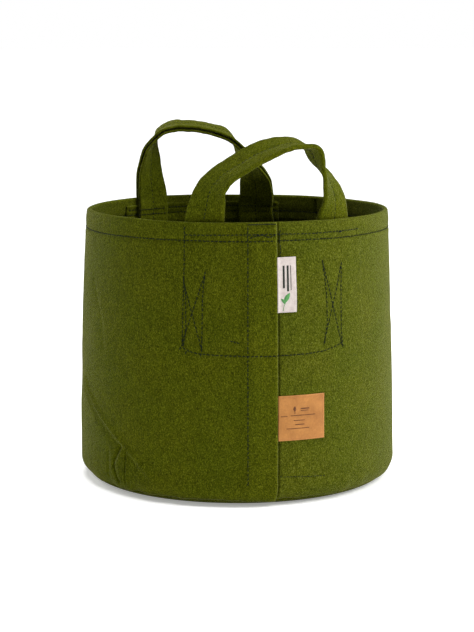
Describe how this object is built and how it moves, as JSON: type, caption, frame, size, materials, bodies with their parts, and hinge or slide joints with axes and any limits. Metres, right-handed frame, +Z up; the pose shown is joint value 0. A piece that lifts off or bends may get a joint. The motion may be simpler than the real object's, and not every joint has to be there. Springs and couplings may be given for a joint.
{
  "type": "fabric grow bag",
  "caption": "Open round planting bag of thick felt with a turned hem, a lapped side seam, sewn-in patches and two strap handles that fold down.",
  "frame": {"origin": "middle of the underside, on the surface that the bag stands on", "axes": "+Z up, -Y towards the side seam and the front handle, +X to the right seen from the front"},
  "size_m": [0.3152, 0.3172, 0.353],
  "materials": {
    "felt": "matte",
    "thread": "matte",
    "ribbon": "matte",
    "leather": "satin"
  },
  "bodies": {
    "bag": {"wall_panel": "felt", "base_panel": "felt", "front_reinforcement_patch": "felt", "rear_reinforcement_patch": "felt", "front_handle_left_tail": "felt", "front_handle_right_tail": "felt", "rear_handle_left_tail": "felt", "rear_handle_right_tail": "felt", "front_left_box_stitching": "thread", "front_right_box_stitching": "thread", "rear_left_box_stitching": "thread", "rear_right_box_stitching": "thread", "front_patch_stitching": "thread", "rear_patch_stitching": "thread", "hem_stitching": "thread", "side_seam_stitching": "thread", "rim_tack_stitching": "thread", "base_seam_stitching": "thread", "foot_stitching": "thread", "label_stitching": "thread", "leather_label": "leather"},
    "front_handle": {"front_handle_loop": "felt", "front_handle_stitching": "thread"},
    "rear_handle": {"rear_handle_loop": "felt", "rear_handle_stitching": "thread"},
    "tag": {"woven_tag": "ribbon"}
  },
  "joints": [
    {"name": "front_handle_fold", "type": "hinge", "parent": "bag", "child": "front_handle", "pos_m": [0, -0.12771, 0.276], "axis": [-1, 0, 0], "range_deg": [-100, 100]},
    {"name": "rear_handle_fold", "type": "hinge", "parent": "bag", "child": "rear_handle", "pos_m": [-0.00579, 0.12758, 0.276], "axis": [0.999, 0.0454, 0], "range_deg": [-100, 100]},
    {"name": "tag_flap", "type": "hinge", "parent": "bag", "child": "tag", "pos_m": [0.00373, -0.15398, 0.211], "axis": [0.0011, -0.0467, -0.9989], "range_deg": [0, 90]}
  ]
}
